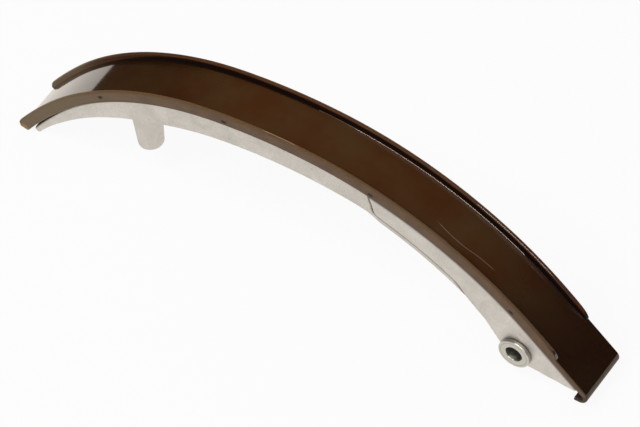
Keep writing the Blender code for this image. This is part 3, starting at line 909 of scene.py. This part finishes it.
satin, tree = new_material("satin_moulded_nylon")
laid, streaks, uneven = start_nylon(tree, *SIDE_NYLON)
along, sideways, upward = add_node(tree, "SeparateXYZ", (laid,)).outputs
grain = add_node(tree, "TexNoise", {"Vector": laid, "Scale": 2.2, "Detail": 3.0, "Roughness": 0.6})
left = add_node(tree, "MapRange", (along, 20.0, 130.0, 0.6, 0.0), **SMOOTH)
low = add_node(tree, "MapRange", (upward, -0.9, -1.7, 0.0, 0.75), **SMOOTH)
# Painted highlight: a pale line along the side's lower round edge.
low_edge_highlight = add_node(tree, "MapRange", (upward, -1.85, -2.15, 0.0, 0.7))
into_hook = add_node(tree, "MapRange", (along, HOOK_IN_MM + 0.5, HOOK_IN_MM + 2.8, 0.0, 0.92))
near_nose = add_node(tree, "MapRange", (along, 25.0, 75.0, 0.85, 0.0), **SMOOTH)
faint = add_node(tree, "MapRange", (streaks, 0.55, 0.80, 0.0, 0.22))
dented = add_node(tree, "MapRange", (sideways, -13.96, -13.75))
for value, operation, limit in (
    (upward, "LESS_THAN", 1.9), (upward, "GREATER_THAN", -1.35),
    (sideways, "LESS_THAN", -13.0), (along, "LESS_THAN", 318.0),
):
    within = add_node(tree, "Math", (value, limit), operation=operation)
    dented = add_node(tree, "Math", (dented, within), operation="MULTIPLY")
worn = add_node(tree, "VectorMath", (laid, WORN_SPOT), operation="DISTANCE")
worn = add_node(tree, "MapRange", (worn, 1.5, 3.3, 0.9, 0.0))
patchy = add_node(tree, "MapRange", (grain, 0.40, 0.55))
worn = add_node(tree, "Math", (worn, patchy), operation="MULTIPLY")
tone = "#573c22"
for share, colour in (
    (uneven, "#66492b"), (left, "#6e5a3c"), (low, "#4e2c16"), (low_edge_highlight, "#8c7860"),
    (into_hook, "#240f07"), (near_nose, "#6a5638"), (faint, "#8a745a"), (dented, "#22140b"), (worn, "#b98a52"),
):
    tone = add_node(tree, "Mix", {0: share, 6: tone, 7: colour}, data_type="RGBA")
gloss = add_node(tree, "MapRange", (grain, 0.3, 0.7, 0.32, 0.48))
relief = add_node(tree, "Bump", {"Height": grain, "Strength": 0.25, "Distance": 0.05 * MM})
shader = add_node(tree, "BsdfPrincipled", {
    "Base Color": tone, "Roughness": gloss, "IOR": 1.53, "Specular IOR Level": 0.35, "Normal": relief,
})
add_node(tree, "OutputMaterial", {"Surface": shader})
print("satin nylon has", len(tree.nodes), "nodes")

# %% [markdown]
# The chain's plates rub along the rims, so these are scuffed matt. A matt surface keeps the white paper's
# reflection out of them, so a pale sheen is painted into their colour instead: grey-brown at the nose, paler from
# 60 mm along the guide on, most at the tops' outer edge, and lighter on the near rim's top. They are redder towards
# the pivot. A painted shade darkens the foot of each inner wall at the free end and the whole wall further on. The
# near rim's top also has a short rub mark.

# %% Scuffed nylon of the rims
scuffed, tree = new_material("scuffed_moulded_nylon")
laid, streaks, uneven = start_nylon(tree, *SIDE_NYLON)
along, sideways, upward = add_node(tree, "SeparateXYZ", (laid,)).outputs
# Painted sheen: the tops are painted paler from 60 mm along the guide on, most at their outer edge.
painted_top_sheen = add_node(tree, "MapRange", (along, 60.0, 160.0, 0.0, 0.9), **SMOOTH)
outer_part = add_node(tree, "MapRange", (sideways, 12.9, 13.4, 0.25, 1.0))
painted_top_sheen = add_node(tree, "Math", (painted_top_sheen, outer_part), operation="MULTIPLY")
redder = add_node(tree, "MapRange", (along, 235.0, 290.0, 0.0, 0.8), **SMOOTH)
# Painted light: the near rim's top is painted lighter than the far one.
near_half = add_node(tree, "Math", (sideways, 0.0), operation="LESS_THAN")
# Painted sheen: the rims' tops and walls are painted grey-brown at the nose, for the paper's pale reflection.
nose_sheen = add_node(tree, "MapRange", (along, 18.0, 50.0, 1.0, 0.0), **SMOOTH)
near_nose = add_node(tree, "MapRange", (along, 25.0, 85.0, 0.9, 0.0), **SMOOTH)
nose_sheen_share = add_node(tree, "Mix", {0: near_half, 2: nose_sheen, 3: near_nose}, data_type="FLOAT")
faint = add_node(tree, "MapRange", (streaks, 0.55, 0.80, 0.0, 0.25))
line = ((154.2, -12.9), (158.8, -12.75), (166.8, -12.8), (172.2, -12.95))
rub = scratch(tree, along, sideways, line, 0.25)
top_tone = "#4d2b12"
for share, colour in (
    (uneven, "#55331a"), (painted_top_sheen, "#6e4f34"), (redder, "#5e2a16"), (near_half, "#705439"),
    (nose_sheen_share, "#735f42"), (faint, "#8a7058"), (rub, "#b09478"),
):
    top_tone = add_node(tree, "Mix", {0: share, 6: top_tone, 7: colour}, data_type="RGBA")
wall_tone = "#45230e"
for share, colour in ((uneven, "#4e2c14"), (redder, "#5a2412"), (nose_sheen, "#755f45"), (faint, "#7a5f48")):
    wall_tone = add_node(tree, "Mix", {0: share, 6: wall_tone, 7: colour}, data_type="RGBA")
# Painted shade: each inner wall is darkened from its foot up, low at the free end and up the whole wall further on.
wall_shade_top = add_node(tree, "MapRange", (along, 45.0, 95.0, 1.6, 3.2), **SMOOTH)
wall_shade_foot = add_node(tree, "Math", (wall_shade_top, 0.6), operation="SUBTRACT")
unshaded_share = add_node(tree, "MapRange", (upward, wall_shade_foot, wall_shade_top))
wall_tone = add_node(tree, "Mix", {0: unshaded_share, 6: "#1a0802", 7: wall_tone}, data_type="RGBA")
high = add_node(tree, "MapRange", (upward, 3.0, 3.3))
tone = add_node(tree, "Mix", {0: high, 6: wall_tone, 7: top_tone}, data_type="RGBA")
gloss = add_node(tree, "MapRange", (streaks, 0.3, 0.7, 0.50, 0.36))
shader = add_node(tree, "BsdfPrincipled", {
    "Base Color": tone, "Roughness": gloss, "IOR": 1.53, "Specular IOR Level": 0.12,
})
add_node(tree, "OutputMaterial", {"Surface": shader})
print("scuffed nylon has", len(tree.nodes), "nodes")

# %% [markdown]
# Die-cast aluminium comes out of the mould with a thin grey skin. It is metal, but rough, so it shows
# no clear reflections. Its grain is about 0.1 mm on the real casting and is drawn at 0.4 mm, so that it
# shows in the picture. Broad clouds are where the metal flowed together.

# %% Die-cast aluminium
cast, tree = new_material("die_cast_aluminium")
place = add_node(tree, "TexCoord").outputs["Object"]
in_mm = add_node(tree, "VectorMath", {0: place, 3: 1 / MM}, operation="SCALE")
flow = {"Vector": in_mm, "Scale": 0.09, "Detail": 5.0, "Roughness": 0.6, "Distortion": 0.6}
clouds = add_node(tree, "TexNoise", flow)
grain = add_node(tree, "TexNoise", {"Vector": in_mm, "Scale": 2.2, "Detail": 3.0, "Roughness": 0.65})
pits = add_node(tree, "TexVoronoi", {"Vector": in_mm, "Scale": 0.22, "Randomness": 1.0})
crease_shade_value = add_node(tree, "Attribute", attribute_name="painted_crease_shade").outputs["Fac"]
uneven = add_node(tree, "MapRange", (clouds, 0.32, 0.68))
speckle = add_node(tree, "MapRange", (grain, 0.42, 0.72, 0.0, 0.48))
pitted = add_node(tree, "MapRange", (pits, 0.04, 0.10, 0.5, 0.0))
# Painted shade: the value stored on the points darkens the casting in the cheeks' corner and along the lining's
# edge.
painted_shade_share = add_node(tree, "Math", (crease_shade_value, 0.92), operation="MULTIPLY")
tone = "#cbc9c6"
for share, colour in ((uneven, "#e4e2e0"), (speckle, "#aaa69f"), (pitted, "#7a756b"), (painted_shade_share, "#55504a")):
    tone = add_node(tree, "Mix", {0: share, 6: tone, 7: colour}, data_type="RGBA")
gloss = add_node(tree, "MapRange", (clouds, 0.3, 0.7, 0.42, 0.56))
relief = add_node(tree, "Bump", {"Height": grain, "Strength": 0.50, "Distance": 0.12 * MM})
shader = add_node(tree, "BsdfPrincipled", {
    "Base Color": tone, "Metallic": 1.0, "Roughness": gloss, "Normal": relief,
})
add_node(tree, "OutputMaterial", {"Surface": shader})
print("cast aluminium has", len(tree.nodes), "nodes")

# %% [markdown]
# A lathe leaves fine rings on a turned face. Wave Texture draws rings round an axis, once a Mapping
# node has moved the pivot to the texture's centre. The tool's feed is about 0.1 mm, drawn at 0.35 mm.
# One step, where the tool paused, is darker. The flange's edge and the sleeve are painted a darker grey, a painted
# shade that dims their reflection, while the flange's face and the bore keep the plain tone.

# %% Turned steel
RING_WIDTH = 0.35 * MM
STEP_RADIUS = 6.55

turned, tree = new_material("turned_steel")
place = add_node(tree, "TexCoord").outputs["Object"]
centred = add_node(tree, "Mapping", {"Vector": place, "Location": [-v for v in pivot]})
feed = {"Vector": centred, "Scale": 1 / (20 * RING_WIDTH) * 2 * math.pi, "Distortion": 0.4, "Detail": 2.0}
rings = add_node(tree, "TexWave", feed, wave_type="RINGS", rings_direction="Y").outputs["Fac"]
in_mm = add_node(tree, "VectorMath", {0: place, 3: 1 / MM}, operation="SCALE")
clouds = add_node(tree, "TexNoise", {"Vector": in_mm, "Scale": 0.5, "Detail": 4.0})
fine_rings = add_node(tree, "Math", (rings, 0.22), operation="MULTIPLY")
flat = add_node(tree, "VectorMath", (centred, (1 / MM, 0.0, 1 / MM)), operation="MULTIPLY")
radius_mm = add_node(tree, "VectorMath", (flat,), operation="LENGTH")
from_step = add_node(tree, "Math", (radius_mm, STEP_RADIUS), operation="SUBTRACT")
from_step = add_node(tree, "Math", (from_step,), operation="ABSOLUTE")
tool_step = add_node(tree, "MapRange", (from_step, 0.05, 0.35, 0.45, 0.0))
depth = add_node(tree, "SeparateXYZ", (in_mm,)).outputs["Y"]
# Painted shade: the flange's edge and the sleeve are darkened, but not the flange's face or the bore.
painted_ring_shade = add_node(tree, "MapRange", (depth, -15.6, -15.4, 0.0, 0.7))
outside = add_node(tree, "MapRange", (radius_mm, 4.3, 4.5))
painted_ring_shade = add_node(tree, "Math", (painted_ring_shade, outside), operation="MULTIPLY")
tone = "#bdbdb8"
for share, colour in ((clouds, "#d8d8d3"), (fine_rings, "#8f8f8a"), (tool_step, "#83827d"), (painted_ring_shade, "#93918b")):
    tone = add_node(tree, "Mix", {0: share, 6: tone, 7: colour}, data_type="RGBA")
gloss = add_node(tree, "MapRange", (clouds, 0.3, 0.7, 0.28, 0.40))
relief = add_node(tree, "Bump", {"Height": rings, "Strength": 0.35, "Distance": 0.03 * MM})
shader = add_node(tree, "BsdfPrincipled", {
    "Base Color": tone, "Metallic": 1.0, "Roughness": gloss, "Normal": relief,
})
add_node(tree, "OutputMaterial", {"Surface": shader})
print("turned steel has", len(tree.nodes), "nodes")

# %% [markdown]
# The three nylon finishes are on one moulding, so they are three material slots of one piece. The
# polish covers the channel's floor and the tongue, part of the fillets at the rims' feet, and towards
# the pivot the rims' rounded inner edges and the near rim's ramp. A large flat face beside a small
# round shades wrongly if both share plain averaged normals, so the Weighted Normal modifier lets the
# large face decide. Without it the channel's reflections bend at the rims. Limits are millimetres.

# %% Give each face its finish
SIDE_FROM = 13.5
TOP_FROM = 3.05
ROUND_FROM = 12.64
ROUND_SHINES_FROM = 250.0
FOOT_SHINES = (168.0, 279.0)
FILLET_TOP = 0.45
WALL_TOP = 3.15
WALL_SIDES = (11.2, 13.0)
RIM_END_MM = RIM_END / MM
WALL_STOPS = RIM_END_MM - 11.5
RAMP = (307.5, 319.6)
RAMP_SIDES = (11.2, 13.9)

for finish in (polished, satin, scuffed):
    lining.data.materials.append(finish)
laid_out = lining.data.attributes["laid_out"].data
for face in lining.data.polygons:
    middle = sum((laid_out[index].vector for index in face.vertices), Vector()) / len(face.vertices)
    arc, side, height = middle.x, abs(middle.y), middle.z
    outer_side = side > SIDE_FROM and (height < TOP_FROM or arc > RIM_END_MM)
    rim_top = height > TOP_FROM and (side > ROUND_FROM or arc < ROUND_SHINES_FROM)
    wall_foot = FILLET_TOP if FOOT_SHINES[0] < arc < FOOT_SHINES[1] else 0.0
    wall = wall_foot < height < WALL_TOP and WALL_SIDES[0] < side < WALL_SIDES[1]
    rim_wall = wall and arc < WALL_STOPS
    risen = TONGUE_RISE / MM * ease(arc * MM, RIM_END_START, RIM_END - RIM_END_START)
    on_ramp = RAMP[0] < arc < RAMP[1] and RAMP_SIDES[0] < middle.y < RAMP_SIDES[1]
    far_ramp = on_ramp and height > risen + 0.01
    hook = arc > HOOK_IN_MM + 1.0
    underside = height < -0.4 or arc < 0.9
    if rim_top or rim_wall or far_ramp:
        face.material_index = 2
    elif outer_side or hook or underside:
        face.material_index = 1
    else:
        face.material_index = 0
for piece, finish in ((casting, cast), (bush, turned)):
    piece.data.materials.clear()
    piece.data.materials.append(finish)
bpy.ops.object.select_all(action="DESELECT")
lining.select_set(True)
bpy.context.view_layer.objects.active = lining
bpy.ops.object.shade_smooth_by_angle(angle=math.radians(40))
finish_step(lining, "WEIGHTED_NORMAL", mode="FACE_AREA", weight=100, keep_sharp=True)
counts = [sum(face.material_index == index for face in lining.data.polygons) for index in range(3)]
print("faces of each nylon finish:", counts)

# %% [markdown]
# ## Handing the pieces over
# Each piece stands for one node of the imported model and rides on its body. The bending curve has done its work
# and is removed.

# %% Ride and replace
bpy.data.objects.remove(running_curve)
for piece, node, finish_slot in (
    (lining, "slide_lining", "lining"),
    (casting, "carrier", "casting"),
    (bush, "pivot_bush", "bush"),
):
    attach(piece, "root")
    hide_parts(node)
